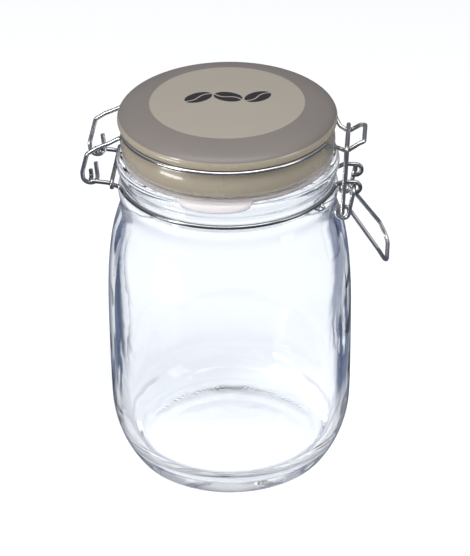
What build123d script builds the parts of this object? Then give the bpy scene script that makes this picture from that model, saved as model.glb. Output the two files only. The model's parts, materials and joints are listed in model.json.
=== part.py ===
"""Clip-top storage jar: glass body, domed ceramic lid, silicone seal and sprung wire fittings.

Millimetres, +Z up, origin at the middle of the foot. The latch is on +X and the hinge on -X.
Every wire fitting is symmetric about the XZ plane, apart from the two neck wires, which are a
mirrored pair.
"""

import os
from math import acos, atan2, cos, degrees, pi, radians, sin, sqrt

from build123d import *

# ---- glass body -----------------------------------------------------------------------------
body_radius = 54.7          # widest part of the side
widest_height = 75.0
heel_height = 31.0          # where the side turns into the rounded heel
heel_radius = 54.4
heel_bend = 51.2            # radius of the large heel curve
heel_edge = 4.0             # radius between the heel curve and the foot
foot_inner_radius = 38.2
wall = 3.1
floor_thickness = 3.6
push_up = 2.4               # how far the middle of the base is raised
rim_top = 150.4
mouth_radius = 42.0
bead_radius = 49.0          # thick rolled rim
bead_height = 148.0

# ---- wire -----------------------------------------------------------------------------------
wire_radius = 0.95
touch = 0.05                # running gap where one wire hangs on another

# ---- lid ------------------------------------------------------------------------------------
lid_radius = 48.0
lid_top = 176.6             # middle of the dome
inlay_radius = 33.8         # flatter disc in the middle of the dome
inlay_height = 175.5
groove_height = 165.8       # middle of the groove that holds the lid wire
groove_half_width = 1.1
groove_radius = 46.25
flange_radius = 47.0
flange_bottom = 152.4
flange_bottom_radius = 45.2
plug_radius = 40.2
plug_bottom = 147.0
lid_hollow_radius = 36.4
lid_hollow_top = 170.0

# ---- seal -----------------------------------------------------------------------------------
seal_inner_radius = 40.5
seal_outer_radius = 46.3
tab_middle = -93.0          # direction of the pull tab, seen from above
tab_half_angle = 21.0
tab_reach = 49.9

# ---- hinge ----------------------------------------------------------------------------------
pin_x = -59.0               # tangential pins of the neck wires, the hinge axis
pin_z = 143.15
hook_y = 13.1               # hooks of the lid wire that hang on the pins
prong_y = 15.1
pin_end_y = 10.5
hook_half_width = 3.3
lid_ring_radius = groove_radius + touch + wire_radius
hinge_leg_y = 16.4
hinge_corner_x = -59.9
hinge_corner_z = 157.0

# ---- latch ----------------------------------------------------------------------------------
eye_x = 55.7                # eyes of the neck wires that carry the lever
eye_z = 139.5
eye_y = 8.2
eye_bend = 2.65
pivot_z = eye_z + eye_bend - 2 * wire_radius - touch
coil_x = 50.9               # coils of the lever that carry the link
coil_z = 128.7
coil_bend = 2.65
coil_pitch = 2.4
coil_outer_y = 12.35
arm_slope = -54.9           # direction of the thumb loop's arms below the horizontal
arm_length = 23.5           # to where the arms start to draw together
tip_slope = -63.7           # direction of the loop's end below the horizontal
tip_length = 8.8
kink_half_width = 12.1
loop_half_width = 10.0
loop_bend = 5.5
link_pin_z = coil_z + coil_bend - 2 * wire_radius - touch
link_top_x = 52.4
link_top_z = 160.25
link_half_width = 12.1
link_foot_y = 14.65
nose_valley_x = 52.4        # dips in the lid wire's nose, under the link
nose_y = 9.3
nose_tip_x = 59.8
nose_tip_z = 162.0
nose_valley_z = link_top_z - 2 * wire_radius - touch

# ---- neck wires -----------------------------------------------------------------------------
neck_groove_radius = 47.15
neck_ring_radius = neck_groove_radius + touch + wire_radius
neck_ring_z = 140.2
prong_root_x = -48.0
prong_root_z = 142.0
bridge_x = -49.4


def ring_tangent(angle):
    """Direction along a horizontal circle, turning from +X towards +Y."""
    return Vector(-sin(radians(angle)), cos(radians(angle)), 0)


def angle_at(radius, y):
    """Angle of the point on a circle at the given Y, on its +X side."""
    return degrees(atan2(y, sqrt(radius**2 - y**2)))


os.makedirs("parts", exist_ok=True)

# ---- jar body: one turned wall, thick at the rim and the heel ---------------------------------
heel_centre = (heel_radius - heel_bend, heel_height)
fillet_z = heel_edge
fillet_x = heel_centre[0] + sqrt((heel_bend - heel_edge) ** 2 - (heel_height - fillet_z) ** 2)
heel_turn = atan2(fillet_z - heel_height, fillet_x - heel_centre[0])
heel_end = (fillet_x + heel_edge * cos(heel_turn), fillet_z + heel_edge * sin(heel_turn))
heel_middle_x = heel_centre[0] + heel_bend * cos(heel_turn / 2)
heel_middle = (heel_middle_x, heel_height + heel_bend * sin(heel_turn / 2))
edge_turn = (heel_turn - pi / 2) / 2
edge_middle = (fillet_x + heel_edge * cos(edge_turn), fillet_z + heel_edge * sin(edge_turn))
inner_floor = push_up + floor_thickness

with BuildPart() as jar_body:
    with BuildSketch(Plane.XZ):
        with BuildLine():
            Line((0, push_up), (foot_inner_radius - 6, push_up - 0.6))
            Spline(
                (foot_inner_radius - 6, push_up - 0.6),
                (foot_inner_radius - 2.2, 0.9),
                (foot_inner_radius, 0),
                tangents=[(1, -0.02), (1, 0)],
            )
            Line((foot_inner_radius, 0), (fillet_x, 0))
            ThreePointArc((fillet_x, 0), edge_middle, heel_end)
            ThreePointArc(heel_end, heel_middle, (heel_radius, heel_height))
            Spline(
                (heel_radius, heel_height),
                (body_radius, widest_height),
                (54.1, 94),
                (52.5, 109.5),
                (49.8, 120.6),
                (47.8, 127.6),
                (48.5, 133.8),
                (neck_groove_radius, 138.9),
                tangents=[(0, 1), (-0.1, 1)],
            )
            Line((neck_groove_radius, 138.9), (neck_groove_radius, 143.2))
            Spline(
                (neck_groove_radius, 143.2),
                (48.35, 145.5),
                (bead_radius, bead_height),
                (47.2, rim_top),
                tangents=[(0.2, 1), (-1, 0)],
            )
            Line((47.2, rim_top), (mouth_radius + 1, rim_top))
            RadiusArc((mouth_radius + 1, rim_top), (mouth_radius, rim_top - 1), -1)
            Line((mouth_radius, rim_top - 1), (mouth_radius, 137))
            Spline(
                (mouth_radius, 137),
                (43.2, 127.5),
                (46.6, 117.5),
                (49.4, 107),
                (51.2, 93),
                (body_radius - wall, widest_height),
                (heel_radius - wall, heel_height + 4),
                tangents=[(0, -1), (0, -1)],
            )
            Spline(
                (heel_radius - wall, heel_height + 4),
                (48.4, 15.6),
                (40.5, 8.2),
                (30, inner_floor + 0.2),
                tangents=[(0, -1), (-1, -0.02)],
            )
            Line((30, inner_floor + 0.2), (0, inner_floor))
            Line((0, inner_floor), (0, push_up))
        make_face()
    revolve(axis=Axis.Z)

jar_body.part.label = "jar_body"
export_step(jar_body.part, "parts/jar_body.step")

# ---- lid: domed ceramic disc with a wire groove, a flange and a hollow plug -------------------
groove_top = groove_height + groove_half_width
groove_bottom = groove_height - groove_half_width

with BuildPart() as lid:
    with BuildSketch(Plane.XZ):
        with BuildLine():
            ThreePointArc(
                (0, lid_top),
                (inlay_radius * 0.55, lid_top - 0.3 * (lid_top - inlay_height)),
                (inlay_radius, inlay_height),
            )
            Spline(
                (inlay_radius, inlay_height),
                (42.3, 173.6),
                (46.6, 171.7),
                (lid_radius, 168.8),
                (47.4, groove_top),
                tangents=[(1, -0.12), (-0.8, -1)],
            )
            Line((47.4, groove_top), (groove_radius, groove_top))
            Line((groove_radius, groove_top), (groove_radius, groove_bottom))
            Line((groove_radius, groove_bottom), (flange_radius - 0.4, groove_bottom))
            Spline(
                (flange_radius - 0.4, groove_bottom),
                (flange_radius, groove_bottom - 0.9),
                (46.6, 158.5),
                (flange_bottom_radius, flange_bottom + 1.3),
                (flange_bottom_radius - 1.1, flange_bottom),
                tangents=[(1, 0), (-1, 0)],
            )
            Line((flange_bottom_radius - 1.1, flange_bottom), (plug_radius, flange_bottom))
            Line((plug_radius, flange_bottom), (plug_radius, plug_bottom + 1.2))
            RadiusArc((plug_radius, plug_bottom + 1.2), (plug_radius - 1.2, plug_bottom), 1.2)
            Line((plug_radius - 1.2, plug_bottom), (lid_hollow_radius + 0.8, plug_bottom))
            RadiusArc((lid_hollow_radius + 0.8, plug_bottom), (lid_hollow_radius, plug_bottom + 0.8), 0.8)
            Line((lid_hollow_radius, plug_bottom + 0.8), (lid_hollow_radius, lid_hollow_top - 3))
            RadiusArc((lid_hollow_radius, lid_hollow_top - 3), (lid_hollow_radius - 3, lid_hollow_top), -3)
            Line((lid_hollow_radius - 3, lid_hollow_top), (0, lid_hollow_top))
            Line((0, lid_hollow_top), (0, lid_top))
        make_face()
    revolve(axis=Axis.Z)

lid.part.label = "lid"
export_step(lid.part, "parts/lid.step")

# ---- lid seal: flat silicone ring round the plug, with a pull tab folded down over the rim ----
tab_thickness = 0.7
tab_start = seal_outer_radius - 1
tab_top = flange_bottom - 0.5
tab_plane = Plane.XZ.rotated((0, 0, tab_middle - tab_half_angle))

with BuildPart() as lid_seal:
    with BuildSketch(tab_plane):
        with BuildLine():
            Polyline(
                (tab_start, tab_top),
                (48.0, tab_top - 0.35),
                (tab_reach, tab_top - 2.0),
                (tab_reach, bead_height - 0.6),
                (tab_reach - tab_thickness, bead_height - 0.6),
                (tab_reach - tab_thickness, tab_top - 2.3),
                (47.6, tab_top - 1.1),
                (tab_start, tab_top - 1.2),
                close=True,
            )
        make_face()
    revolve(axis=Axis.Z, revolution_arc=2 * tab_half_angle)
    with BuildSketch(Plane.XY.offset(rim_top + touch)):
        Circle(seal_outer_radius)
        Circle(seal_inner_radius, mode=Mode.SUBTRACT)
    extrude(amount=flange_bottom - rim_top - 2 * touch)

lid_seal.part.label = "lid_seal"
export_step(lid_seal.part, "parts/lid_seal.step")

# ---- lid wire: one sprung wire, from hinge hook round the groove to the nose and back ---------
# A small margin of straight wire leads out of each ring arc, so the bend there is tangent.
hinge_lead = 3.2
nose_lead = 5.0
hinge_exit = 180 + angle_at(lid_ring_radius, hinge_leg_y) + degrees(hinge_lead / lid_ring_radius)
nose_exit = -angle_at(lid_ring_radius, 18.6) - degrees(nose_lead / lid_ring_radius)
hook_bottom = pin_z - 2 * wire_radius - touch

with BuildPart() as lid_wire:
    with BuildLine() as lid_wire_half:
        ring = CenterArc((0, 0, groove_height), lid_ring_radius, hinge_exit, 360 + nose_exit - hinge_exit)
        hinge_corner = ring @ 0 - hinge_lead * ring_tangent(hinge_exit)
        FilletPolyline(
            ring @ 0,
            hinge_corner,
            (-49.6, -hinge_leg_y, 162.7),
            (-55.6, -hinge_leg_y, 160.0),
            (hinge_corner_x, -hinge_leg_y, hinge_corner_z),
            (pin_x - hook_half_width - 0.3, -hook_y - 0.8, 146.6),
            (pin_x - hook_half_width, -hook_y, hook_bottom),
            (pin_x + hook_half_width, -hook_y, hook_bottom),
            (-56.6, -hook_y, 151.3),
            radius=[2.4, 8, 8, 2.2, 5, hook_half_width - 0.1, hook_half_width - 0.1],
        )
        nose_corner = ring @ 1 + nose_lead * ring_tangent(nose_exit)
        FilletPolyline(
            ring @ 1,
            nose_corner,
            (48.5, -nose_y - 1, 160.0),
            (nose_valley_x, -nose_y, nose_valley_z - 0.5),
            (nose_tip_x - 2.2, -nose_y + 0.5, nose_tip_z - 0.6),
            (nose_tip_x, -nose_y + 1.6, nose_tip_z),
            (nose_tip_x, 0, nose_tip_z),
            radius=[1.6, 3, 2.4, 2, 1.2],
        )
    with BuildLine() as lid_wire_path:
        add(lid_wire_half.line)
        mirror(lid_wire_half.line, about=Plane.XZ)
    lid_wire_run = lid_wire_path.wire()
    with BuildSketch(Plane(origin=lid_wire_run @ 0, z_dir=lid_wire_run % 0)):
        Circle(wire_radius)
    sweep(path=lid_wire_run)

lid_wire.part.label = "lid_wire"
export_step(lid_wire.part, "parts/lid_wire.step")

# ---- neck wires: each runs from a latch eye round half the neck to a hinge prong --------------
neck_lead = 2.6
eye_exit = -angle_at(neck_ring_radius, eye_y) - degrees(neck_lead / neck_ring_radius)
prong_exit = 180 + angle_at(neck_ring_radius, prong_y) + degrees(neck_lead / neck_ring_radius)


def neck_wire_line():
    """Centre line of the neck wire on the -Y side, from its eye to the end of its pin."""
    with BuildLine() as line:
        ring = CenterArc((0, 0, neck_ring_z), neck_ring_radius, prong_exit, 360 + eye_exit - prong_exit)
        FilletPolyline(
            ring @ 1,
            ring @ 1 + neck_lead * ring_tangent(eye_exit),
            (50.6, -eye_y, eye_z + eye_bend),
            (eye_x + eye_bend, -eye_y, eye_z + eye_bend),
            (eye_x + eye_bend, -eye_y, eye_z - eye_bend),
            (53.8, -eye_y, eye_z - eye_bend),
            radius=[1.8, 4, eye_bend - 0.02, eye_bend - 0.02],
        )
        FilletPolyline(
            ring @ 0,
            ring @ 0 - neck_lead * ring_tangent(prong_exit),
            (prong_root_x - 3, -prong_y, prong_root_z + 0.4),
            (pin_x, -prong_y, pin_z),
            (pin_x, -pin_end_y, pin_z),
            (pin_x - 0.3, -pin_end_y, 146.3),
            radius=[2.4, 8, 1.35, 1.35],
        )
    return line.line


for label, side in (("neck_wire_near", 1), ("neck_wire_far", -1)):
    with BuildPart() as neck_wire:
        with BuildLine() as neck_path:
            add(neck_wire_line())
        neck_run = neck_path.wire()
        with BuildSketch(Plane(origin=neck_run @ 0, z_dir=neck_run % 0)):
            Circle(wire_radius)
        sweep(path=neck_run)
        if side < 0:
            mirror(about=Plane.XZ, mode=Mode.REPLACE)
    neck_wire.part.label = label
    export_step(neck_wire.part, f"parts/{label}.step")

# ---- neck bridge: straight tie behind the neck, bent down over both prongs --------------------
prong_z = prong_root_z + 0.15
bridge_z = prong_z + 2 * wire_radius + touch
bridge_y = prong_y + 2 * wire_radius + touch

with BuildPart() as neck_bridge:
    with BuildLine() as bridge_path:
        FilletPolyline(
            (bridge_x, -bridge_y, prong_z - 1.4),
            (bridge_x, -bridge_y, bridge_z),
            (bridge_x, bridge_y, bridge_z),
            (bridge_x, bridge_y, prong_z - 1.4),
            radius=1.8,
        )
    bridge_run = bridge_path.wire()
    with BuildSketch(Plane(origin=bridge_run @ 0, z_dir=bridge_run % 0)):
        Circle(wire_radius)
    sweep(path=bridge_run)

neck_bridge.part.label = "neck_bridge"
export_step(neck_bridge.part, "parts/neck_bridge.step")

# ---- lever: pivot ends in the neck eyes, one coil a side, and the thumb loop ------------------
leg_span = sqrt((eye_x - coil_x) ** 2 + (pivot_z - coil_z) ** 2)
leg_angle = degrees(atan2(pivot_z - coil_z, eye_x - coil_x)) - degrees(acos(coil_bend / leg_span))
arm_angle = arm_slope + 90
coil_turn = 360 + leg_angle - arm_angle
coil_height = coil_pitch * coil_turn / 360
coil_plane = Plane(
    origin=(coil_x, -coil_outer_y, coil_z),
    x_dir=(cos(radians(leg_angle)), 0, sin(radians(leg_angle))),
    z_dir=(0, 1, 0),
)
coil = coil_plane * Helix(coil_pitch, coil_height, coil_bend)
arm_direction = Vector(cos(radians(arm_slope)), 0, sin(radians(arm_slope)))
kink = (coil @ 1) + arm_direction * arm_length
loop_end = kink + Vector(cos(radians(tip_slope)), 0, sin(radians(tip_slope))) * tip_length

with BuildPart() as lever:
    with BuildLine() as lever_half:
        add(coil)
        FilletPolyline(
            coil @ 0,
            coil @ 0 - (coil % 0) * 3,
            (eye_x, -coil_outer_y - 0.3, pivot_z),
            (eye_x, -eye_y + 2.2, pivot_z),
            radius=[6, 1.8],
        )
        FilletPolyline(
            coil @ 1,
            coil @ 1 + (coil % 1) * 3,
            (kink.X, -kink_half_width, kink.Z),
            (loop_end.X, -loop_half_width, loop_end.Z),
            (loop_end.X, 0, loop_end.Z),
            radius=[8, 6, loop_bend],
        )
    with BuildLine() as lever_path:
        add(lever_half.line)
        mirror(lever_half.line, about=Plane.XZ)
    lever_run = lever_path.wire()
    with BuildSketch(Plane(origin=lever_run @ 0, z_dir=lever_run % 0)):
        Circle(wire_radius)
    sweep(path=lever_run)

lever.part.label = "lever"
export_step(lever.part, "parts/lever.step")

# ---- latch link: crossbar over the nose, two legs, and pins turned in through the coils -------
with BuildPart() as latch_link:
    with BuildLine() as link_path:
        FilletPolyline(
            (coil_x, -9.0, link_pin_z),
            (coil_x, -link_foot_y, link_pin_z),
            (link_top_x, -link_half_width, link_top_z),
            (link_top_x, link_half_width, link_top_z),
            (coil_x, link_foot_y, link_pin_z),
            (coil_x, 9.0, link_pin_z),
            radius=[1.3, 1.6, 1.6, 1.3],
        )
    link_run = link_path.wire()
    with BuildSketch(Plane(origin=link_run @ 0, z_dir=link_run % 0)):
        Circle(wire_radius)
    sweep(path=link_run)

latch_link.part.label = "latch_link"
export_step(latch_link.part, "parts/latch_link.step")
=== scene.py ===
"""Clip-top storage jar: turned glass body, domed ceramic lid, silicone seal and sprung steel wires.

Metres throughout, +Z up, origin at the middle of the foot. The latch is on +X, the hinge on -X.
"""

import json
import logging
import math
from dataclasses import dataclass, field
from enum import Enum

import bmesh
import bpy
from mathutils import Matrix, Quaternion, Vector

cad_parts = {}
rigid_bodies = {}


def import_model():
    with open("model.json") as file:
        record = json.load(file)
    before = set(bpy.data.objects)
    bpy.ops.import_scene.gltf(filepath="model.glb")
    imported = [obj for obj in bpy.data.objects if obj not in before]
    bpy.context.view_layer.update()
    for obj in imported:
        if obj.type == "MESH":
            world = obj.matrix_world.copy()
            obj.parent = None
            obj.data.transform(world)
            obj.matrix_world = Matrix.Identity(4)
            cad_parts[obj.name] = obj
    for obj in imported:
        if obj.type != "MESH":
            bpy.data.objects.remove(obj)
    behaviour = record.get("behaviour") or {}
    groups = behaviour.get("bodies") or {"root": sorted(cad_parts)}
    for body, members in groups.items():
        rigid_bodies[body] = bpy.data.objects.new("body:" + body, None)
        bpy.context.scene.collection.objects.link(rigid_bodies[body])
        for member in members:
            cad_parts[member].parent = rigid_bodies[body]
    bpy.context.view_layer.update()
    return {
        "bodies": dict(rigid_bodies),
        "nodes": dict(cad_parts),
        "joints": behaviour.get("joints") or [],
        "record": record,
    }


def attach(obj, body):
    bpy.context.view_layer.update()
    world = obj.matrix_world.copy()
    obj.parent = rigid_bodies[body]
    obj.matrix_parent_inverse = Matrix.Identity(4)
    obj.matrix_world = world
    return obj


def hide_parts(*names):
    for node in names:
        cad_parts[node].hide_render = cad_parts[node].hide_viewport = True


MM = 0.001
log = logging.getLogger("storage_jar")

Station = tuple[float, float]
Limits = tuple[float, float]
Colour = tuple[float, float, float, float]

NO_FLOOR = -1.0  # below anything that a mask measures
NO_CEILING = 2.0  # above anything that a mask measures
JAR_MIDDLE = (0.0, 0.0, 86.89 * MM)


class Body(Enum):
    """The bodies that new pieces ride on."""

    JAR = "jar"
    LID = "lid"


class Slot(Enum):
    """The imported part's material slots that new pieces take."""

    GLASS = "clear_glass"
    CERAMIC = "glazed_ceramic"
    SILICONE = "silicone"


# ---- node helpers ---------------------------------------------------------------------------


class NodeBoard:
    """A node tree being laid out, with short calls to place nodes and join their sockets."""

    def __init__(self, tree: bpy.types.NodeTree) -> None:
        """Start laying out a tree.

        Args:
            tree: The material, world or group tree to fill.
        """
        self.tree = tree

    def place(self, kind: str, **settings: object) -> bpy.types.Node:
        """Add one node.

        Args:
            kind: The node's type name.
            settings: Properties of the node, such as operation or blend_type.

        Returns:
            The new node.
        """
        node = self.tree.nodes.new(kind)
        for name, value in settings.items():
            setattr(node, name, value)
        return node

    def feed(self, socket: bpy.types.NodeSocket, value: object) -> None:
        """Give an input socket a link or a plain value.

        Args:
            socket: The input to feed.
            value: An output socket, a number or a tuple.
        """
        if isinstance(value, bpy.types.NodeSocket):
            self.tree.links.new(value, socket)
        else:
            socket.default_value = value

    def calc(self, operation: str, *values: object, clamp: bool = False) -> bpy.types.NodeSocket:
        """Add a Math node.

        Args:
            operation: The Math operation.
            values: Its inputs in order, as sockets or numbers.
            clamp: Whether the result is held between 0 and 1.

        Returns:
            The result's socket.
        """
        node = self.place("ShaderNodeMath", operation=operation, use_clamp=clamp)
        for socket, value in zip(node.inputs, values):
            self.feed(socket, value)
        return node.outputs[0]

    def mix(self, share: object, first: object, second: object) -> bpy.types.NodeSocket:
        """Blend two colours.

        Args:
            share: How much of the second colour shows.
            first: The colour at share 0.
            second: The colour at share 1.

        Returns:
            The blended colour's socket.
        """
        node = self.place("ShaderNodeMix", data_type="RGBA", clamp_factor=True)
        self.feed(node.inputs["Factor"], share)
        self.feed(node.inputs["A"], first)
        self.feed(node.inputs["B"], second)
        return node.outputs["Result"]

    def band(self, value: object, low: float, high: float, soft: float) -> bpy.types.NodeSocket:
        """Mask that is 1 between two limits, with soft edges.

        Args:
            value: The socket that is tested.
            low: The lower limit.
            high: The upper limit.
            soft: The width of each edge.

        Returns:
            The mask's socket.
        """
        rise = self.place("ShaderNodeMapRange", interpolation_type="SMOOTHSTEP")
        fall = self.place("ShaderNodeMapRange", interpolation_type="SMOOTHSTEP")
        for node, edge, ends in ((rise, low, (0.0, 1.0)), (fall, high, (1.0, 0.0))):
            self.feed(node.inputs["Value"], value)
            self.feed(node.inputs["From Min"], edge - soft / 2)
            self.feed(node.inputs["From Max"], edge + soft / 2)
            self.feed(node.inputs["To Min"], ends[0])
            self.feed(node.inputs["To Max"], ends[1])
        return self.calc("MULTIPLY", rise.outputs[0], fall.outputs[0])

    def split(self, vector: bpy.types.NodeSocket) -> bpy.types.bpy_prop_collection:
        """Take a vector apart.

        Args:
            vector: The vector's socket.

        Returns:
            Its parts' sockets, X, Y and Z.
        """
        node = self.place("ShaderNodeSeparateXYZ")
        self.feed(node.inputs[0], vector)
        return node.outputs

    def noise(self, vector: object, scale: object, detail: float) -> bpy.types.NodeSocket:
        """Add a Noise texture.

        Args:
            vector: The coordinates' socket.
            scale: Repeats to a metre, as a number or a socket.
            detail: How many finer layers there are.

        Returns:
            The noise value's socket, 0 to 1.
        """
        node = self.place("ShaderNodeTexNoise")
        self.feed(node.inputs["Vector"], vector)
        self.feed(node.inputs["Scale"], scale)
        self.feed(node.inputs["Detail"], detail)
        return node.outputs["Fac"]

    def group(self, tree: bpy.types.NodeTree, **values: object) -> bpy.types.Node:
        """Place a shared node group.

        Args:
            tree: The group.
            values: Its inputs by name, with spaces written as underscores.

        Returns:
            The group's node.
        """
        node = self.place("ShaderNodeGroup", node_tree=tree)
        for name, value in values.items():
            self.feed(node.inputs[name.replace("_", " ")], value)
        return node


@dataclass
class SharedEffects:
    """Node groups that several finishes use, each built once."""

    built: dict[str, bpy.types.NodeTree] = field(default_factory=dict)

    def _new(
        self, name: str, inputs: dict[str, str], outputs: dict[str, str]
    ) -> tuple[NodeBoard, bpy.types.Node, bpy.types.Node]:
        """Start a group.

        Args:
            name: The group's name.
            inputs: Socket names and their types' last words.
            outputs: Socket names and their types' last words.

        Returns:
            The board, the group's input node and its output node.
        """
        tree = bpy.data.node_groups.new(name, "ShaderNodeTree")
        for way, sockets in (("INPUT", inputs), ("OUTPUT", outputs)):
            for label, kind in sockets.items():
                tree.interface.new_socket(label, in_out=way, socket_type=f"NodeSocket{kind}")
        board = NodeBoard(tree)
        self.built[name] = tree
        return board, board.place("NodeGroupInput"), board.place("NodeGroupOutput")

    def turned_place(self) -> bpy.types.NodeTree:
        """Group that reads distance from the jar's axis, height and direction.

        Returns:
            The group, with outputs Radius, Height and Angle.
        """
        if "Turned place" in self.built:
            return self.built["Turned place"]
        board, start, end = self._new(
            "Turned place",
            {"Vector": "Vector"},
            {"Radius": "Float", "Height": "Float", "Angle": "Float"},
        )
        across, along, up = board.split(start.outputs["Vector"])
        squares = [board.calc("MULTIPLY", side, side) for side in (across, along)]
        board.feed(end.inputs["Radius"], board.calc("SQRT", board.calc("ADD", *squares)))
        board.feed(end.inputs["Height"], up)
        board.feed(end.inputs["Angle"], board.calc("ARCTAN2", along, across))
        return self.built["Turned place"]

    def handling(self) -> bpy.types.NodeTree:
        """Group that gives the faint smears and fine scratches of things that are handled.

        Returns:
            The group, with outputs Smear and Scratch.
        """
        if "Handling marks" in self.built:
            return self.built["Handling marks"]
        board, start, end = self._new(
            "Handling marks",
            {"Vector": "Vector", "Size": "Float"},
            {"Smear": "Float", "Scratch": "Float"},
        )
        smear_from, smear_to = 0.38, 0.82
        scratches_per_smear, scratch_bend, scratch_thinness = 6.0, 14.0, 12.0
        vector, size = start.outputs["Vector"], start.outputs["Size"]
        smear = board.place("ShaderNodeMapRange", interpolation_type="SMOOTHSTEP")
        board.feed(smear.inputs["Value"], board.noise(vector, size, 4.0))
        board.feed(smear.inputs["From Min"], smear_from)
        board.feed(smear.inputs["From Max"], smear_to)
        board.feed(end.inputs["Smear"], smear.outputs[0])
        lines = board.place("ShaderNodeTexWave", wave_type="BANDS", bands_direction="DIAGONAL")
        board.feed(lines.inputs["Vector"], vector)
        board.feed(lines.inputs["Scale"], board.calc("MULTIPLY", size, scratches_per_smear))
        board.feed(lines.inputs["Distortion"], scratch_bend)
        board.feed(lines.inputs["Detail"], 4.0)
        scratch = board.calc("POWER", lines.outputs["Fac"], scratch_thinness)
        board.feed(end.inputs["Scratch"], scratch)
        return self.built["Handling marks"]

    def bean(self) -> bpy.types.NodeTree:
        """Group that draws one coffee bean, an oval of unit length split by a curved line.

        Returns:
            The group, with the output Mask.
        """
        if "Coffee bean" in self.built:
            return self.built["Coffee bean"]
        board, start, end = self._new("Coffee bean", {"Vector": "Vector"}, {"Mask": "Float"})
        length_share, width_share, blur = 4.0, 9.5, 0.06
        split_turns, split_swing, split_half_width = 6.6, 0.065, 0.026
        long, wide, _ = board.split(start.outputs["Vector"])
        shape = board.calc(
            "ADD",
            board.calc("MULTIPLY", board.calc("MULTIPLY", long, long), length_share),
            board.calc("MULTIPLY", board.calc("MULTIPLY", wide, wide), width_share),
        )
        oval = board.band(shape, NO_FLOOR, 1.0, blur)
        curve = board.calc("SINE", board.calc("MULTIPLY", long, split_turns))
        curve = board.calc("MULTIPLY", curve, split_swing)
        off_curve = board.calc("SUBTRACT", wide, curve)
        split = board.band(off_curve, -split_half_width, split_half_width, 0.012)
        halves = board.calc("SUBTRACT", 1.0, split)
        board.feed(end.inputs["Mask"], board.calc("MULTIPLY", oval, halves))
        return self.built["Coffee bean"]


# ---- finishes -------------------------------------------------------------------------------


@dataclass
class Canvas:
    """A material that is being laid out: its board, shader, coordinates and shared groups."""

    board: NodeBoard
    shader: bpy.types.Node
    place: bpy.types.NodeSocket
    effects: SharedEffects

    def plain(self, **values: float) -> None:
        """Set values that are the same all over the surface.

        Args:
            values: The shader's inputs by name, with spaces written as underscores.
        """
        for name, value in values.items():
            self.shader.inputs[name.replace("_", " ")].default_value = value

    def varied(self, name: str, value: bpy.types.NodeSocket) -> None:
        """Feed a shader input with something that changes over the surface.

        Args:
            name: The input's name.
            value: The socket that feeds it.
        """
        self.board.feed(self.shader.inputs[name], value)

    def scaled(self, value: object, share: float) -> bpy.types.NodeSocket:
        """Multiply a value by a number.

        Args:
            value: The socket to scale.
            share: What it is multiplied by.

        Returns:
            The result's socket.
        """
        return self.board.calc("MULTIPLY", value, share)

    def turned(self) -> bpy.types.Node:
        """Place the group that reads radius, height and direction."""
        return self.board.group(self.effects.turned_place(), Vector=self.place)

    def marks(self, size: float) -> bpy.types.Node:
        """Place the handling marks.

        Args:
            size: How many smears there are to a metre.

        Returns:
            The group's node.
        """
        return self.board.group(self.effects.handling(), Vector=self.place, Size=size)

    def bump(self, height: bpy.types.NodeSocket, strength: float, depth: float) -> None:
        """Feed a height into the shader's normal.

        Args:
            height: The height's socket, 0 to 1.
            strength: How strongly the bump shows.
            depth: The depth in metres that a height of 1 stands for.
        """
        node = self.board.place("ShaderNodeBump")
        self.board.feed(node.inputs["Strength"], strength)
        self.board.feed(node.inputs["Distance"], depth)
        self.board.feed(node.inputs["Height"], height)
        self.varied("Normal", node.outputs["Normal"])


class Finish:
    """A material that is made once and then handed out."""

    name: str = "Finish"

    def material(self, effects: SharedEffects) -> bpy.types.Material:
        """Return the finish's material, and build it the first time.

        Args:
            effects: The shared node groups.

        Returns:
            The material.
        """
        made = bpy.data.materials.get(self.name)
        if made is None:
            made = bpy.data.materials.new(self.name)
            made.use_nodes = True
            board = NodeBoard(made.node_tree)
            shader = made.node_tree.nodes["Principled BSDF"]
            place = board.place("ShaderNodeTexCoord").outputs["Object"]
            self.dress(Canvas(board, shader, place, effects))
        return made

    def dress(self, canvas: Canvas) -> None:
        """Lay out the finish's nodes.

        Args:
            canvas: The material that is being laid out.
        """
        raise NotImplementedError


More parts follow.
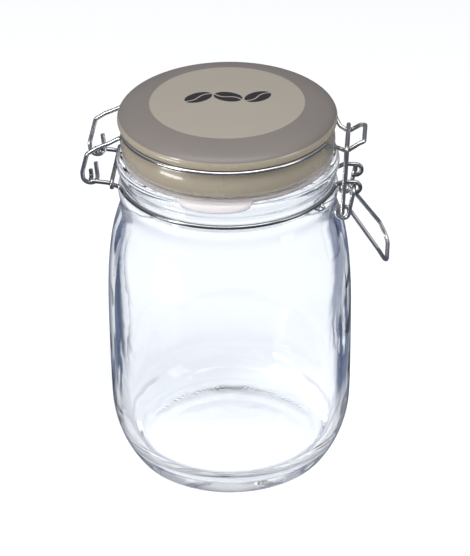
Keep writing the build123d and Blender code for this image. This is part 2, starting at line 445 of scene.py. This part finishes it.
@dataclass(frozen=True)
class ClearGlass(Finish):
    """Pressed soda glass: slightly wavy, with a stippled foot ring and a faint mould seam.

    Its colour holds painted shade and painted reflection: it darkens where the glass is seen
    edge-on, in upright streaks, at the groove and lip, and at the heel and foot.
    """

    name: str = "Clear pressed glass"
    tint: Colour = (0.965, 0.980, 1.0, 1.0)
    # painted shade: the slate of dark surroundings that the glass's edges, streaks and folds would
    # show
    painted_shade_tint: Colour = (0.026, 0.040, 0.090, 1.0)
    bends_light: float = 1.5
    smear_size: float = 30.0
    smear_roughness: float = 0.012
    wave_size: float = 26.0
    ripple_size: float = 104.0
    ripple_share: float = 0.12
    relief_depth: float = 0.55 * MM
    stipple_count: float = 110.0
    stipple_share: float = 0.035
    stipple_radii: Limits = (38.9 * MM, 40.2 * MM)
    stipple_top: float = 1.2 * MM
    seam_half_width: float = 0.22 * MM
    seam_radius: float = 52.5 * MM
    seam_share: float = 0.08
    # painted reflection streaks, strongest on the straight side
    streak_size: float = 105.0
    streak_stretch: tuple[float, float, float] = (1.0, 1.0, 0.16)
    streak_start: float = 0.45
    latch_side_bias: float = 0.7
    streak_heights: Limits = (40.0 * MM, 128.0 * MM)
    streak_shares: Limits = (0.30, 0.70)
    grazing_start: float = 0.60
    grazing_base: float = 0.16
    outline_start: float = 0.80
    outline_share: float = 0.86
    silhouette_start: float = 0.89
    silhouette_share: float = 0.97
    # painted reflection of the neck wire in the glass at the groove and under the lip
    groove_heights: Limits = (137.6 * MM, 141.2 * MM)
    groove_share: float = 0.42
    lip_heights: Limits = (147.0 * MM, 149.2 * MM)
    lip_share: float = 0.28
    outer_radius: float = 46.6 * MM
    # painted shade along the heel's and foot's edges; the bottom 3 mm is darker
    heel_heights: Limits = (10.0 * MM, 15.5 * MM)
    heel_facing: float = 0.22
    heel_share: float = 0.48
    standing_top: float = 15.0 * MM
    standing_share: float = 0.66
    base_top: float = 3.0 * MM
    base_share: float = 0.11

    def dress(self, canvas: Canvas) -> None:
        """Lay out the glass.

        Args:
            canvas: The material that is being laid out.
        """
        canvas.plain(Transmission_Weight=1.0, IOR=self.bends_light)
        where = canvas.turned()
        smears = canvas.marks(self.smear_size).outputs["Smear"]
        canvas.varied("Roughness", canvas.scaled(smears, self.smear_roughness))
        canvas.bump(self.relief(canvas, where), 1.0, self.relief_depth)
        # the painted shade and painted reflection are mixed into the glass's colour
        painted_dark = self.depth(canvas, where)
        canvas.varied("Base Color", canvas.board.mix(painted_dark, self.tint, self.painted_shade_tint))

    def relief(self, canvas: Canvas, where: bpy.types.Node) -> bpy.types.NodeSocket:
        """Draw the waves, the stippled ring and the seam.

        Args:
            canvas: The material that is being laid out.
            where: The node that reads radius, height and direction.

        Returns:
            The height's socket.
        """
        board = canvas.board
        waves = board.noise(canvas.place, self.wave_size, 1.5)
        ripple = board.noise(canvas.place, self.ripple_size, 1.0)
        height = board.calc("ADD", waves, canvas.scaled(ripple, self.ripple_share))
        turn = board.calc("SINE", canvas.scaled(where.outputs["Angle"], self.stipple_count))
        ring = board.band(where.outputs["Radius"], *self.stipple_radii, 0.6 * MM)
        low = board.band(where.outputs["Height"], NO_FLOOR, self.stipple_top, 0.4 * MM)
        stipple = board.calc("MULTIPLY", board.calc("MULTIPLY", ring, low), turn)
        across = board.split(canvas.place)["Y"]
        seam = board.band(across, -self.seam_half_width, self.seam_half_width, 0.3 * MM)
        side = board.band(where.outputs["Radius"], self.seam_radius, NO_CEILING, 1.0 * MM)
        seam = board.calc("MULTIPLY", seam, side)
        height = board.calc("ADD", height, canvas.scaled(stipple, self.stipple_share))
        return board.calc("ADD", height, canvas.scaled(seam, self.seam_share))

    def depth(self, canvas: Canvas, where: bpy.types.Node) -> bpy.types.NodeSocket:
        """Mask the painted shade and painted reflection: glass seen edge-on, the groove and lip,
        the heel and the foot.

        The groove and lip get a painted reflection of the wire beside them, the heel and the lowest
        15 mm a painted shade along their edges, and the bottom 3 mm is darker all over.

        Args:
            canvas: The material that is being laid out.
            where: The node that reads radius, height and direction.

        Returns:
            The mask's socket, 1 where the painted shade is darkest.
        """
        board = canvas.board
        radius, height = where.outputs["Radius"], where.outputs["Height"]
        weight = board.place("ShaderNodeLayerWeight")
        weight.inputs["Blend"].default_value = 0.5
        facing = weight.outputs["Facing"]
        grazing = board.band(facing, self.grazing_start, NO_CEILING, 0.10)
        outline = board.band(facing, self.outline_start, NO_CEILING, 0.14)
        silhouette = board.band(facing, self.silhouette_start, NO_CEILING, 0.05)
        outer = board.band(radius, self.outer_radius, NO_CEILING, 0.4 * MM)
        streaks = board.calc("ADD", self.grazing_base, self.streaks(canvas, height))
        # painted reflection of the neck wire at the groove and lip
        groove = board.band(height, *self.groove_heights, 0.5 * MM)
        groove = canvas.scaled(groove, self.groove_share)
        lip = canvas.scaled(board.band(height, *self.lip_heights, 0.6 * MM), self.lip_share)
        folds = board.calc("MULTIPLY", board.calc("MAXIMUM", groove, lip), outer)
        # painted shade along the heel and the lowest 15 mm; the bottom 3 mm is darker
        heel = board.band(height, *self.heel_heights, 1.6 * MM)
        heel = board.calc("MULTIPLY", heel, board.band(facing, self.heel_facing, NO_CEILING, 0.08))
        heel = board.calc("MULTIPLY", heel, canvas.scaled(outer, self.heel_share))
        standing = board.band(height, NO_FLOOR, self.standing_top, 5.0 * MM)
        standing = canvas.scaled(board.calc("MULTIPLY", standing, grazing), self.standing_share)
        base = canvas.scaled(board.band(height, NO_FLOOR, self.base_top, 0.5 * MM), self.base_share)
        # painted shade where the glass is seen edge-on, on its streaks and outline
        painted_dark = board.calc("MULTIPLY", grazing, streaks)
        for mask in (
            canvas.scaled(outline, self.outline_share),
            canvas.scaled(silhouette, self.silhouette_share),
            heel,
            standing,
            base,
        ):
            painted_dark = board.calc("MAXIMUM", painted_dark, mask)
        return board.calc("MAXIMUM", painted_dark, folds, clamp=True)

    def streaks(self, canvas: Canvas, height: bpy.types.NodeSocket) -> bpy.types.NodeSocket:
        """Draw upright streaks of painted reflection, more of them towards the latch.

        Args:
            canvas: The material that is being laid out.
            height: The height above the foot.

        Returns:
            The streaks' mask, strongest on the straight side.
        """
        board = canvas.board
        stretched = board.place("ShaderNodeMapping")
        board.feed(stretched.inputs["Vector"], canvas.place)
        board.feed(stretched.inputs["Scale"], self.streak_stretch)
        bias = canvas.scaled(board.split(canvas.place)["X"], self.latch_side_bias)
        gathered = board.noise(stretched.outputs[0], self.streak_size, 2.5)
        streaks = board.band(board.calc("ADD", gathered, bias), self.streak_start, NO_CEILING, 0.06)
        streaky = board.band(height, *self.streak_heights, 24.0 * MM)
        least, more = self.streak_shares
        return board.calc("MULTIPLY", streaks, board.calc("ADD", least, canvas.scaled(streaky, more)))


@dataclass(frozen=True)
class GlazedCeramic(Finish):
    """Glossy glaze in three zones: a pale disc, a taupe ring and a cream edge, with three beans."""

    name: str = "Glazed ceramic"
    disc: Colour = (0.268, 0.238, 0.196, 1.0)
    ring: Colour = (0.134, 0.116, 0.107, 1.0)
    edge: Colour = (0.290, 0.250, 0.182, 1.0)
    ink: Colour = (0.004, 0.003, 0.004, 1.0)
    cloud: Colour = (0.55, 0.50, 0.44, 1.0)
    cloud_size: float = 24.0
    cloud_share: float = 0.10
    speck: Colour = (0.16, 0.13, 0.10, 1.0)
    speck_size: float = 1500.0
    speck_share: float = 0.22
    speck_start: float = 0.66
    disc_radius: float = 33.8 * MM
    ring_radius: float = 47.45 * MM
    ring_height: float = 170.6 * MM
    zone_blur: float = 0.3 * MM
    smear_size: float = 38.0
    smear_roughness: float = 0.03
    roughness: float = 0.26
    ring_roughness: float = 0.20
    coat: float = 0.62
    coat_lost_on_ring: float = 0.5
    coat_roughness: float = 0.06
    coat_bends_light: float = 1.5
    pool_size: float = 60.0
    speck_relief: float = 0.04
    glaze_strength: float = 0.2
    glaze_depth: float = 0.10 * MM
    mark_turn: float = 4.75
    mark_middle: tuple[float, float] = (0.2 * MM, 3.0 * MM)
    bean_length: float = 13.2 * MM
    bean_step: float = 12.9 * MM
    bean_turns: tuple[float, float, float] = (32.0, -24.0, 38.0)

    def dress(self, canvas: Canvas) -> None:
        """Lay out the glaze.

        Args:
            canvas: The material that is being laid out.
        """
        board = canvas.board
        where = canvas.turned()
        radius = where.outputs["Radius"]
        top = board.band(where.outputs["Height"], self.ring_height, NO_CEILING, 0.25 * MM)
        on_ring = board.band(radius, NO_FLOOR, self.ring_radius, self.zone_blur)
        on_ring = board.calc("MULTIPLY", top, on_ring)
        on_disc = board.band(radius, NO_FLOOR, self.disc_radius, self.zone_blur)
        on_disc = board.calc("MULTIPLY", top, on_disc)
        specks = board.noise(canvas.place, self.speck_size, 2.0)
        canvas.varied("Base Color", self.colours(canvas, on_ring, on_disc, specks))
        smears = canvas.marks(self.smear_size).outputs["Smear"]
        rough = board.calc("ADD", self.roughness, canvas.scaled(smears, self.smear_roughness))
        rough = board.calc("ADD", rough, canvas.scaled(on_ring, self.ring_roughness))
        canvas.varied("Roughness", rough)
        lost = canvas.scaled(on_ring, self.coat_lost_on_ring)
        canvas.varied("Coat Weight", board.calc("SUBTRACT", self.coat, lost))
        canvas.plain(Coat_Roughness=self.coat_roughness, Coat_IOR=self.coat_bends_light)
        pooled = board.noise(canvas.place, self.pool_size, 1.0)
        pooled = board.calc("ADD", pooled, canvas.scaled(specks, self.speck_relief))
        canvas.bump(pooled, self.glaze_strength, self.glaze_depth)

    def colours(
        self,
        canvas: Canvas,
        on_ring: bpy.types.NodeSocket,
        on_disc: bpy.types.NodeSocket,
        specks: bpy.types.NodeSocket,
    ) -> bpy.types.NodeSocket:
        """Lay the glaze's zones, clouds, specks and beans over each other.

        Args:
            canvas: The material that is being laid out.
            on_ring: The mask of everything inside the taupe ring's rim.
            on_disc: The mask of the pale disc.
            specks: The noise that the specks are cut from.

        Returns:
            The colour's socket.
        """
        board = canvas.board
        colour = board.mix(on_ring, self.edge, self.ring)
        colour = board.mix(on_disc, colour, self.disc)
        clouds = board.noise(canvas.place, self.cloud_size, 2.0)
        clouds = canvas.scaled(clouds, self.cloud_share)
        colour = board.mix(clouds, colour, self.cloud)
        dark = board.band(specks, self.speck_start, NO_CEILING, 0.05)
        colour = board.mix(canvas.scaled(dark, self.speck_share), colour, self.speck)
        mark = board.calc("MULTIPLY", self.bean_row(canvas), on_disc)
        return board.mix(mark, colour, self.ink)

    def bean_row(self, canvas: Canvas) -> bpy.types.NodeSocket:
        """Draw the row of three beans across the disc.

        Args:
            canvas: The material that is being laid out.

        Returns:
            The row's mask.
        """
        board = canvas.board
        turn = math.radians(self.mark_turn)
        mark = 0.0
        for index, lean in enumerate(self.bean_turns):
            along = (index - 1) * self.bean_step
            x = self.mark_middle[0] + along * math.cos(turn)
            y = self.mark_middle[1] + along * math.sin(turn)
            spot = board.place("ShaderNodeMapping", vector_type="TEXTURE")
            board.feed(spot.inputs["Vector"], canvas.place)
            board.feed(spot.inputs["Location"], (x, y, 0.0))
            board.feed(spot.inputs["Rotation"], (0.0, 0.0, turn + math.radians(lean)))
            board.feed(spot.inputs["Scale"], (self.bean_length, self.bean_length, 1.0))
            bean = board.group(canvas.effects.bean(), Vector=spot.outputs[0]).outputs["Mask"]
            mark = board.calc("MAXIMUM", mark, bean)
        return mark


@dataclass(frozen=True)
class SoftSilicone(Finish):
    """Cloudy silicone, matt from dust, with the grain of its mould."""

    name: str = "Cloudy silicone"
    colour: Colour = (0.88, 0.83, 0.82, 1.0)
    cloud: Colour = (0.93, 0.90, 0.89, 1.0)
    cloud_size: float = 140.0
    cloud_share: float = 0.4
    smear_size: float = 60.0
    roughness: float = 0.28
    smear_roughness: float = 0.14
    lets_through: float = 0.7
    bends_light: float = 1.41
    grain_size: float = 900.0
    grain_strength: float = 0.2
    grain_depth: float = 0.05 * MM

    def dress(self, canvas: Canvas) -> None:
        """Lay out the silicone.

        Args:
            canvas: The material that is being laid out.
        """
        board = canvas.board
        clouds = board.noise(canvas.place, self.cloud_size, 3.0)
        clouds = canvas.scaled(clouds, self.cloud_share)
        canvas.varied("Base Color", board.mix(clouds, self.colour, self.cloud))
        smears = canvas.marks(self.smear_size).outputs["Smear"]
        rough = board.calc("ADD", self.roughness, canvas.scaled(smears, self.smear_roughness))
        canvas.varied("Roughness", rough)
        canvas.plain(Transmission_Weight=self.lets_through, IOR=self.bends_light)
        grain = board.noise(canvas.place, self.grain_size, 2.0)
        canvas.bump(grain, self.grain_strength, self.grain_depth)


@dataclass(frozen=True)
class SteelWire(Finish):
    """Drawn wire with fine lines, faint smears and a little bronze tarnish."""

    name: str = "Bright drawn wire"
    colour: Colour = (0.60, 0.59, 0.57, 1.0)
    tarnish: Colour = (0.40, 0.36, 0.31, 1.0)
    tarnish_share: float = 0.35
    smear_size: float = 170.0
    roughness: float = 0.12
    smear_roughness: float = 0.12
    scratch_roughness: float = 0.08
    scratch_share: float = 0.6
    line_size: float = 1100.0
    line_strength: float = 0.18
    line_depth: float = 0.04 * MM

    def dress(self, canvas: Canvas) -> None:
        """Lay out the steel.

        Args:
            canvas: The material that is being laid out.
        """
        board = canvas.board
        marks = canvas.marks(self.smear_size)
        smear, scratch = marks.outputs["Smear"], marks.outputs["Scratch"]
        shade = canvas.scaled(smear, self.tarnish_share)
        canvas.varied("Base Color", board.mix(shade, self.colour, self.tarnish))
        canvas.plain(Metallic=1.0)
        rough = board.calc("ADD", self.roughness, canvas.scaled(smear, self.smear_roughness))
        rough = board.calc("ADD", rough, canvas.scaled(scratch, self.scratch_roughness))
        canvas.varied("Roughness", rough)
        drawn = board.noise(canvas.place, self.line_size, 2.0)
        lines = board.calc("SUBTRACT", drawn, canvas.scaled(scratch, self.scratch_share))
        canvas.bump(lines, self.line_strength, self.line_depth)


@dataclass(frozen=True)
class PaleFloor(Finish):
    """White studio paper."""

    name: str = "Studio paper"
    hollow: Colour = (0.83, 0.835, 0.84, 1.0)
    fibre: Colour = (0.86, 0.865, 0.87, 1.0)
    fibre_size: float = 400.0

    def dress(self, canvas: Canvas) -> None:
        """Lay out the paper.

        Args:
            canvas: The material that is being laid out.
        """
        fibres = canvas.board.noise(canvas.place, self.fibre_size, 4.0)
        canvas.varied("Base Color", canvas.board.mix(fibres, self.hollow, self.fibre))
        canvas.plain(Roughness=0.9, Specular_IOR_Level=0.1)


# ---- turned shapes --------------------------------------------------------------------------


@dataclass
class TurnedPiece:
    """A closed shape spun round the jar's axis from the corners of its half section."""

    name: str
    corners: list[Station]
    around: int = 64
    smooth_levels: int = 2

    def build(self) -> bpy.types.Object:
        """Spin the half section and round it.

        Returns:
            The new object, at the origin.
        """
        form = bmesh.new()
        points = [form.verts.new((r * MM, 0.0, z * MM)) for r, z in self.corners]
        section = [form.edges.new(pair) for pair in zip(points, points[1:])]
        if self.corners[0][0] > 0.0:
            section.append(form.edges.new((points[-1], points[0])))
        bmesh.ops.spin(
            form,
            geom=points + section,
            cent=(0.0, 0.0, 0.0),
            axis=(0.0, 0.0, 1.0),
            angle=math.tau,
            steps=self.around,
            use_merge=True,
        )
        bmesh.ops.remove_doubles(form, verts=form.verts[:], dist=0.005 * MM)
        bmesh.ops.recalc_face_normals(form, faces=form.faces[:])
        return finished(self.name, form, self.smooth_levels)


def finished(name: str, form: bmesh.types.BMesh, levels: int = 0) -> bpy.types.Object:
    """Turn a bmesh into a smooth-shaded object.

    Args:
        name: The piece's name.
        form: The bmesh, which is freed.
        levels: Levels of subdivision surface, or 0 for none.

    Returns:
        The object, linked to the scene at the origin.
    """
    mesh = bpy.data.meshes.new(name)
    form.to_mesh(mesh)
    form.free()
    mesh.shade_smooth()
    piece = bpy.data.objects.new(name, mesh)
    bpy.context.scene.collection.objects.link(piece)
    if levels:
        rounding = piece.modifiers.new("Rounding", "SUBSURF")
        rounding.levels = rounding.render_levels = levels
    return piece


def settle(
    piece: bpy.types.Object, finish: Finish, effects: SharedEffects, body: Body
) -> None:
    """Dress a new piece and fix it to its body.

    Args:
        piece: The new piece.
        finish: Its finish.
        effects: The shared node groups.
        body: The body it rides on.
    """
    piece.data.materials.clear()
    piece.data.materials.append(finish.material(effects))
    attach(piece, body.value)
    log.info("%s rides on %s, %d faces", piece.name, body.value, len(piece.data.polygons))


# ---- sub-assemblies -------------------------------------------------------------------------


@dataclass
class GlassBody:
    """The pressed glass jar: foot, heel, straight side, shoulder, neck groove and rolled rim."""

    foot: list[Station] = field(
        default_factory=lambda: [
            (0, 2.2), (8, 1.98), (15, 1.62), (21, 1.26), (27, 0.9), (32, 0.6), (36, 0.36),
            (39, 0.17), (41, 0.04), (42.3, 0.0), (43.6, 0.2), (44.7, 0.95), (45.7, 2.3),
        ]
    )
    side: list[Station] = field(
        default_factory=lambda: [
            (48.55, 6.9), (51.1, 12.6), (53.0, 18.6), (54.1, 24.8), (54.45, 31), (54.6, 42),
            (54.7, 54), (54.72, 66), (54.7, 76), (54.5, 86), (54.1, 94), (53.4, 102),
            (52.5, 109.5), (51.25, 115.6), (49.8, 120.6), (48.5, 124.3), (47.7, 127.4),
            (47.8, 130.6), (48.45, 133.4), (48.65, 135.6), (48.0, 137.6),
        ]
    )
    rim: list[Station] = field(
        default_factory=lambda: [
            (47.2, 138.7), (47.1, 140.6), (47.15, 142.6), (47.7, 144.1), (48.5, 145.6),
            (49.05, 147.3), (49.0, 148.9), (48.3, 150.1), (47.1, 150.42), (45.2, 150.42),
            (43.2, 150.4), (42.3, 150.1), (42.0, 149.2),
        ]
    )
    inside: list[Station] = field(
        default_factory=lambda: [
            (42, 146), (42, 141), (42, 136.5), (42.3, 132), (43.2, 127.2), (44.7, 122.2),
            (46.5, 117.4), (48.1, 112.2), (49.4, 107), (50.5, 100), (51.2, 93), (51.55, 84),
            (51.62, 74), (51.6, 60), (51.5, 46), (51.3, 35), (50.7, 26), (49.2, 18.6),
            (46.6, 13.0), (43.0, 9.4), (38.5, 7.3), (33, 6.4), (26, 6.15), (14, 6.05), (0, 6.0),
        ]
    )

    def build(self, effects: SharedEffects) -> list[bpy.types.Object]:
        """Build the glass.

        Args:
            effects: The shared node groups.

        Returns:
            The pieces made.
        """
        corners = self.foot + self.side + self.rim + self.inside
        glass = TurnedPiece("glass_body", corners, around=72).build()
        settle(glass, ClearGlass(), effects, Body.JAR)
        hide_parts("jar_body")
        glass.visible_shadow = False
        return [glass]


@dataclass
class CeramicLid:
    """The domed lid: printed top, wire groove, flange and the hollow plug under it."""

    dome: list[Station] = field(
        default_factory=lambda: [
            (0, 176.6), (8, 176.56), (16, 176.4), (24, 176.1), (30, 175.8), (33.4, 175.58),
            (34.2, 175.42), (36, 175.15), (39, 174.6), (42.3, 173.75), (45.0, 172.75),
            (46.8, 171.6), (47.8, 170.2), (48.05, 168.8), (47.9, 167.7), (47.45, 167.0),
        ]
    )
    groove: list[Station] = field(
        default_factory=lambda: [
            (46.8, 166.85), (46.3, 166.5), (46.2, 165.8), (46.1, 165.1), (45.9, 164.6),
        ]
    )
    flange: list[Station] = field(
        default_factory=lambda: [
            (46.2, 163.3), (46.65, 161.8), (47.0, 160.1), (47.1, 158.2), (46.95, 156.2),
            (46.3, 154.3), (45.3, 152.95), (44.1, 152.42), (42.6, 152.4), (40.9, 152.4),
        ]
    )
    plug: list[Station] = field(
        default_factory=lambda: [
            (40.25, 152.0), (40.2, 150.6), (40.2, 148.7), (39.9, 147.5), (39.0, 147.0),
            (37.6, 147.0), (36.6, 147.4), (36.4, 148.6), (36.4, 156), (36.4, 164),
            (36.2, 167.8), (35.2, 169.5), (32.5, 170), (20, 170), (0, 170),
        ]
    )

    def build(self, effects: SharedEffects) -> list[bpy.types.Object]:
        """Build the lid.

        Args:
            effects: The shared node groups.

        Returns:
            The pieces made.
        """
        corners = self.dome + self.groove + self.flange + self.plug
        lid = TurnedPiece("ceramic_lid", corners, around=72).build()
        settle(lid, GlazedCeramic(), effects, Body.LID)
        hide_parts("lid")
        return [lid]


@dataclass
class SiliconeSeal:
    """The flat seal between lid and rim, with a pull tab folded down over the rolled rim."""

    ring: list[Station] = field(
        default_factory=lambda: [
            (40.5, 150.9), (40.5, 151.9), (40.9, 152.35), (43.4, 152.35), (45.9, 152.35),
            (46.3, 151.9), (46.3, 150.9), (45.9, 150.45), (43.4, 150.45), (40.9, 150.45),
        ]
    )
    tab: list[Station] = field(
        default_factory=lambda: [
            (45.4, 151.9), (48.0, 151.55), (49.2, 150.9), (49.9, 149.9), (49.9, 147.4),
            (49.2, 147.4), (49.2, 149.6), (48.6, 150.4), (47.6, 150.8), (45.4, 150.7),
        ]
    )
    tab_start: float = -114.0
    tab_sweep: float = 42.0
    tab_steps: int = 28
    tab_squareness: float = 2.6
    tab_root_height: float = 151.3 * MM

    def build_tab(self) -> bpy.types.Object:
        """Spin the folded tab part of the way round and round its corners.

        Returns:
            The tab.
        """
        form = bmesh.new()
        turn = Matrix.Rotation(math.radians(self.tab_start), 3, "Z")
        points = [form.verts.new(turn @ Vector((r * MM, 0.0, z * MM))) for r, z in self.tab]
        face = form.faces.new(points)
        bmesh.ops.spin(
            form,
            geom=[face, *face.edges, *face.verts],
            cent=(0.0, 0.0, 0.0),
            axis=(0.0, 0.0, 1.0),
            angle=math.radians(self.tab_sweep),
            steps=self.tab_steps,
            use_duplicate=False,
        )
        half = math.radians(self.tab_sweep / 2)
        middle = math.radians(self.tab_start) + half
        for point in form.verts:
            away = abs(math.atan2(point.co.y, point.co.x) - middle) / half
            reach = (1.0 - min(away, 0.995) ** self.tab_squareness) ** 0.4
            root = Vector((point.co.x, point.co.y, 0.0)).normalized() * self.tab[0][0] * MM
            root.z = self.tab_root_height
            point.co = root.lerp(point.co, reach)
        bmesh.ops.recalc_face_normals(form, faces=form.faces[:])
        return finished("seal_tab", form, 1)

    def build(self, effects: SharedEffects) -> list[bpy.types.Object]:
        """Build the seal.

        Args:
            effects: The shared node groups.

        Returns:
            The pieces made.
        """
        ring = TurnedPiece("seal_ring", self.ring, around=96, smooth_levels=1).build()
        tab = self.build_tab()
        for piece in (ring, tab):
            settle(piece, SoftSilicone(), effects, Body.LID)
            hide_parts("lid_seal")
        return [ring, tab]


@dataclass
class WireFittings:
    """The sprung wires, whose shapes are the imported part's own."""

    bright: tuple[str, ...] = ("lid_wire", "lever", "latch_link")
    bright_steel: SteelWire = SteelWire()
    # the neck wires get a darker copy of the steel: painted shade from the glass groove around them
    painted_shade_wires: tuple[str, ...] = ("neck_wire_near", "neck_wire_far", "neck_bridge")
    painted_shade_steel: SteelWire = SteelWire(
        name="Neck wire with painted shade", colour=(0.34, 0.34, 0.335, 1.0), tarnish=(0.24, 0.22, 0.20, 1.0)
    )

    def dress(self, frame: dict, effects: SharedEffects) -> None:
        """Give the wires their steel.

        Args:
            effects: The shared node groups.
        """
        for names, finish in ((self.bright, self.bright_steel), (self.painted_shade_wires, self.painted_shade_steel)):
            steel = finish.material(effects)
            for name in names:
                for slot in frame["nodes"][name].material_slots:
                    slot.material = steel
                log.info("%s has %s", name, steel.name)


@dataclass(frozen=True)
class Softbox:
    """One rectangular soft light: where it hangs, its size, its power and the point it faces."""

    name: str
    place: tuple[float, float, float]
    size: tuple[float, float]
    watts: float
    aim: tuple[float, float, float] = JAR_MIDDLE

    def hang(self) -> None:
        """Make the light, turn it to its aim and hide it from the camera."""
        data = bpy.data.lights.new(self.name, "AREA")
        data.shape = "RECTANGLE"
        data.size, data.size_y = self.size
        data.energy = self.watts
        light = bpy.data.objects.new(self.name, data)
        light.visible_camera = False
        bpy.context.scene.collection.objects.link(light)
        light.location = self.place
        light.rotation_mode = "QUATERNION"
        facing = Vector(self.aim) - Vector(self.place)
        light.rotation_quaternion = facing.to_track_quat("-Z", "Y")


@dataclass
class Studio:
    """Pale floor, soft lights and the camera."""

    distance: float = 1.3
    elevation: float = 30.62
    azimuth: float = 4.75
    roll: float = -0.80
    focal_length: float = 187.52
    sideways_shift: float = 0.0098
    floor_radius: float = 3.0
    backdrop: Colour = (0.92, 0.93, 0.95, 1.0)
    reflected: tuple[tuple[float, Colour], ...] = (
        (0.0, (0.13, 0.145, 0.19, 1.0)),
        (0.45, (0.22, 0.235, 0.27, 1.0)),
        (0.80, (0.85, 0.86, 0.88, 1.0)),
    )
    lights: tuple[Softbox, ...] = (
        Softbox("Overhead", (0.0, -0.5, 1.6), (1.9, 0.95), 20.0),
        Softbox("Left strip", (-1.1, -0.9, 0.9), (0.25, 0.6), 8.0),
        Softbox("Low strip", (-0.62, -0.46, 0.06), (0.34, 0.10), 1.4, (0.0, 0.0, 0.16)),
        Softbox("Right fill", (1.4, -0.5, 0.8), (0.6, 1.0), 4.0),
    )

    def camera(self) -> None:
        """Make the camera and set it as the scene's."""
        data = bpy.data.cameras.new("Camera")
        data.lens = self.focal_length
        data.sensor_width = 36.0
        data.shift_x = self.sideways_shift
        data.clip_start = 0.05
        data.clip_end = 20.0
        camera = bpy.data.objects.new("Camera", data)
        bpy.context.scene.collection.objects.link(camera)
        rise, turn = math.radians(self.elevation), math.radians(self.azimuth)
        level = math.cos(rise)
        back = Vector((level * math.sin(turn), -level * math.cos(turn), math.sin(rise)))
        camera.location = Vector(JAR_MIDDLE) + back * self.distance
        camera.rotation_mode = "QUATERNION"
        look = (-back).to_track_quat("-Z", "Y")
        camera.rotation_quaternion = look @ Quaternion((0.0, 0.0, 1.0), math.radians(self.roll))
        bpy.context.scene.camera = camera

    def floor(self, effects: SharedEffects) -> None:
        """Make the floor, a wide disc whose edge is turned up.

        Args:
            effects: The shared node groups.
        """
        form = bmesh.new()
        bmesh.ops.create_circle(form, cap_ends=True, radius=self.floor_radius, segments=96)
        rim = [edge for edge in form.edges if edge.is_boundary]
        lip = bmesh.ops.extrude_edge_only(form, edges=rim)["geom"]
        raised = [part for part in lip if isinstance(part, bmesh.types.BMVert)]
        bmesh.ops.scale(form, vec=(1.1, 1.1, 1.0), verts=raised)
        bmesh.ops.translate(form, vec=(0.0, 0.0, 0.05), verts=raised)
        bmesh.ops.recalc_face_normals(form, faces=form.faces[:])
        paper = finished("studio_floor", form)
        paper.data.materials.append(PaleFloor().material(effects))
        paper.visible_glossy = False

    def surroundings(self) -> None:
        """Make the world: pale to look at, but in reflections slate low down and bright above."""
        world = bpy.data.worlds.new("Studio")
        world.use_nodes = True
        bpy.context.scene.world = world
        board = NodeBoard(world.node_tree)
        direction = board.place("ShaderNodeTexCoord").outputs["Generated"]
        ramp = board.place("ShaderNodeValToRGB")
        board.feed(ramp.inputs[0], board.split(direction)["Z"])
        low, middle, high = self.reflected
        stops = ramp.color_ramp.elements
        stops[0].position, stops[0].color = low
        stops[1].position, stops[1].color = high
        stops.new(middle[0]).color = middle[1]
        rays = board.place("ShaderNodeLightPath").outputs
        seen = board.calc("MAXIMUM", rays["Is Camera Ray"], rays["Is Transmission Ray"])
        shader = world.node_tree.nodes["Background"]
        board.feed(shader.inputs["Color"], board.mix(seen, ramp.outputs["Color"], self.backdrop))
        shader.inputs["Strength"].default_value = 1.0

    def build(self, effects: SharedEffects) -> None:
        """Make the whole studio.

        Args:
            effects: The shared node groups.
        """
        self.camera()
        self.floor(effects)
        self.surroundings()
        for light in self.lights:
            light.hang()
        paths = bpy.context.scene.cycles
        paths.max_bounces = 24
        paths.glossy_bounces = 16
        paths.transmission_bounces = 24
        view = bpy.context.scene.view_settings
        view.view_transform = "Standard"
        view.look = "None"


def main() -> None:
    """Build the jar and its studio."""
    logging.basicConfig(level=logging.INFO, format="%(name)s: %(message)s")
    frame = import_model()
    effects = SharedEffects()
    Studio().build(effects)
    for part in (GlassBody(), CeramicLid(), SiliconeSeal()):
        for piece in part.build(effects):
            log.info("made %s", piece.name)
    WireFittings().dress(frame, effects)


if __name__ == "__main__":
    main()
